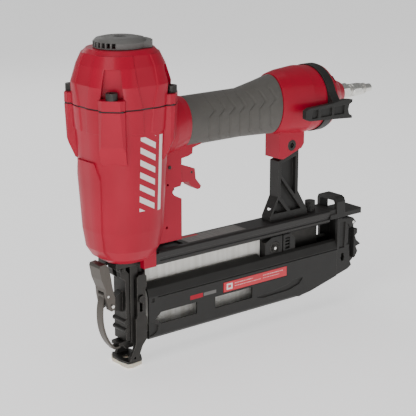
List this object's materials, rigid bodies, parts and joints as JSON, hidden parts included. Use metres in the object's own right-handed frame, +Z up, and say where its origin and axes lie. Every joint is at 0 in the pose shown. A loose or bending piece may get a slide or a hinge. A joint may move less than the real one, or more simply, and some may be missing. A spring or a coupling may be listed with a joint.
{
  "type": "pneumatic finish nailer",
  "caption": "Pneumatic finish nailer with a hollow rubber-sleeved handle, side-loading nail magazine, trigger, spring work contact, swivel air plug and belt hook.",
  "frame": {"origin": "drive axis of the nailer at the bottom face of the no-mar pad, where the nail leaves", "axes": "+Z up the drive axis towards the cap, +X back along handle and magazine towards the air plug, -Y the side of the belt hook and magazine label"},
  "size_m": [0.3381, 0.0802, 0.2907],
  "materials": {
    "red_paint": "powder-coated magnesium casting, deep red satin",
    "red_plastic": "red moulded nylon, satin",
    "black_plastic": "glass-filled nylon, fine texture",
    "grip_rubber": "warm grey overmoulded elastomer",
    "grey_plastic": "grey moulded nylon",
    "black_steel": "black oxide steel",
    "steel": "bright zinc-plated steel",
    "spring_steel": "brown-grey tempered steel",
    "aluminium": "machined aluminium",
    "black_aluminium": "black anodised extrusion",
    "nails": "galvanised steel wire, glued strip",
    "pad_rubber": "beige elastomer",
    "black_rubber": "black elastomer",
    "label_red": "plain red label, no text",
    "label_grey": "plain grey and red label, no text"
  },
  "bodies": {
    "tool_frame": {"housing": "red_paint", "cap_gasket": "black_rubber", "cylinder_cap": "red_paint", "cap_screws": "black_steel", "deflector_screw": "black_steel", "head_valve_spring": "spring_steel", "cylinder_sleeve": "aluminium", "sleeve_seals": "black_rubber", "bumper": "black_rubber", "nose_body": "black_steel", "nose_screws": "black_steel", "door_pin": "black_steel", "guide_pin": "black_steel", "contact_spring": "spring_steel", "trigger_pin": "black_steel", "trigger_valve_body": "black_plastic", "trigger_valve_spring": "spring_steel", "grip_sleeve": "grip_rubber", "end_cap": "red_paint", "end_cap_screws": "black_steel", "swivel_base": "steel", "top_rail": "black_aluminium", "rail_label": "label_grey", "nail_rail": "black_steel", "nail_strip": "nails", "bracket": "black_plastic", "bracket_screws": "black_steel", "lug_screw": "black_steel", "lug_nut": "black_steel", "end_plate": "black_plastic"},
    "deflector": {"exhaust_deflector": "grey_plastic"},
    "head_valve": {"head_valve": "grey_plastic", "head_valve_oring": "black_rubber"},
    "driver": {"piston": "aluminium", "piston_ring": "black_rubber", "driver_blade": "steel"},
    "trigger": {"trigger": "red_plastic", "inner_lever_pin": "black_steel"},
    "inner_lever": {"inner_lever": "steel"},
    "valve_stem": {"trigger_valve_stem": "steel"},
    "contact_arm": {"contact_arm": "black_steel"},
    "depth_wheel": {"depth_wheel": "black_plastic"},
    "contact_foot": {"contact_foot": "black_steel", "no_mar_pad": "pad_rubber"},
    "belt_hook": {"belt_hook": "black_plastic"},
    "air_plug": {"swivel_plug": "steel"},
    "nose_door": {"nose_door": "black_steel", "latch_pin": "steel"},
    "latch_lever": {"latch_lever": "spring_steel", "strap_pin": "steel"},
    "latch_strap": {"latch_strap": "spring_steel"},
    "magazine_cover": {"magazine_cover": "black_plastic", "cover_label": "label_red", "magazine_end": "black_plastic", "magazine_latch_pin": "steel"},
    "magazine_latch": {"magazine_latch": "black_plastic"},
    "pusher": {"pusher": "black_plastic", "roller_pin": "steel"},
    "feed_roller": {"feed_roller": "black_steel"},
    "knob": {"knob": "black_plastic"}
  },
  "joints": [
    {"name": "deflector_turn", "type": "hinge", "parent": "tool_frame", "child": "deflector", "pos_m": [0, 0, 0.2873], "axis": [0, 0, 1], "continuous": true},
    {"name": "head_valve_lift", "type": "slide", "parent": "tool_frame", "child": "head_valve", "axis": [0, 0, 1], "range_m": [0, 0.004], "stiffness_N_per_m": 1500, "springref_m": -0.005, "deforming": ["head_valve_spring"]},
    {"name": "driver_stroke", "type": "slide", "parent": "tool_frame", "child": "driver", "axis": [0, 0, 1], "range_m": [-0.082, 0]},
    {"name": "trigger_pull", "type": "hinge", "parent": "tool_frame", "child": "trigger", "pos_m": [0.044, 0, 0.1734], "axis": [0, -1, 0], "range_deg": [0, 10], "stiffness_Nm_per_rad": 0.3, "springref_deg": -8.59},
    {"name": "inner_lever_lift", "type": "hinge", "parent": "trigger", "child": "inner_lever", "pos_m": [0.071, 0, 0.1644], "axis": [0, 1, 0], "range_deg": [0, 8]},
    {"name": "valve_stem_lift", "type": "slide", "parent": "tool_frame", "child": "valve_stem", "axis": [0, 0, 1], "range_m": [0, 0.0034], "deforming": ["trigger_valve_spring"]},
    {"name": "contact_lift", "type": "slide", "parent": "tool_frame", "child": "contact_arm", "axis": [0, 0, 1], "range_m": [0, 0.008], "stiffness_N_per_m": 400, "springref_m": -0.01, "deforming": ["contact_spring"]},
    {"name": "depth_wheel_turn", "type": "hinge", "parent": "contact_arm", "child": "depth_wheel", "pos_m": [0.0105, 0.017, 0.0625], "axis": [0, 0, 1], "range_deg": [-720, 720]},
    {"name": "depth_trim", "type": "slide", "parent": "contact_arm", "child": "contact_foot", "axis": [0, 0, 1], "range_m": [-0.0016, 0.0016]},
    {"name": "hook_swing", "type": "hinge", "parent": "tool_frame", "child": "belt_hook", "pos_m": [0.217, 0, 0.214], "axis": [1, 0, 0], "range_deg": [-225, 45]},
    {"name": "air_plug_swivel", "type": "hinge", "parent": "tool_frame", "child": "air_plug", "pos_m": [0.27, 0, 0.214], "axis": [1, 0, 0], "continuous": true},
    {"name": "nose_door_swing", "type": "hinge", "parent": "tool_frame", "child": "nose_door", "pos_m": [-0.008, 0, 0.0905], "axis": [0, 1, 0], "range_deg": [0, 25]},
    {"name": "latch_lever_pull", "type": "hinge", "parent": "nose_door", "child": "latch_lever", "pos_m": [-0.0187, 0, 0.0595], "axis": [0, -1, 0], "range_deg": [0, 60]},
    {"name": "latch_strap_swing", "type": "hinge", "parent": "latch_lever", "child": "latch_strap", "pos_m": [-0.0226, 0, 0.069], "axis": [0, 1, 0], "range_deg": [0, 60]},
    {"name": "magazine_slide", "type": "slide", "parent": "tool_frame", "child": "magazine_cover", "axis": [1, 0, 0], "range_m": [0, 0.14]},
    {"name": "magazine_latch_press", "type": "hinge", "parent": "magazine_cover", "child": "magazine_latch", "pos_m": [0.268, 0, 0.084], "axis": [0, 1, 0], "range_deg": [0, 6], "stiffness_Nm_per_rad": 0.2, "springref_deg": -8.59},
    {"name": "pusher_slide", "type": "slide", "parent": "magazine_cover", "child": "pusher", "axis": [1, 0, 0], "range_m": [0, 0.038], "stiffness_N_per_m": 8, "springref_m": -0.3},
    {"name": "feed_roller_turn", "type": "hinge", "parent": "pusher", "child": "feed_roller", "pos_m": [0.1688, 0, 0.075], "axis": [0, 1, 0], "range_deg": [0, 370]},
    {"name": "knob_turn", "type": "hinge", "parent": "tool_frame", "child": "knob", "pos_m": [0.221, 0, 0.106], "axis": [0, 0, 1], "continuous": true}
  ],
  "couplings": [
    {"joint": "valve_stem_lift", "follows": "trigger_pull", "m_per_rad": 0.019},
    {"joint": "inner_lever_lift", "follows": "contact_lift", "rad_per_m": 17.4},
    {"joint": "depth_wheel_turn", "follows": "depth_trim", "rad_per_m": 7854},
    {"joint": "latch_strap_swing", "follows": "latch_lever_pull", "ratio": 1},
    {"joint": "nose_door_swing", "follows": "latch_lever_pull", "ratio": 0.41667},
    {"joint": "feed_roller_turn", "follows": "pusher_slide", "rad_per_m": 160}
  ]
}
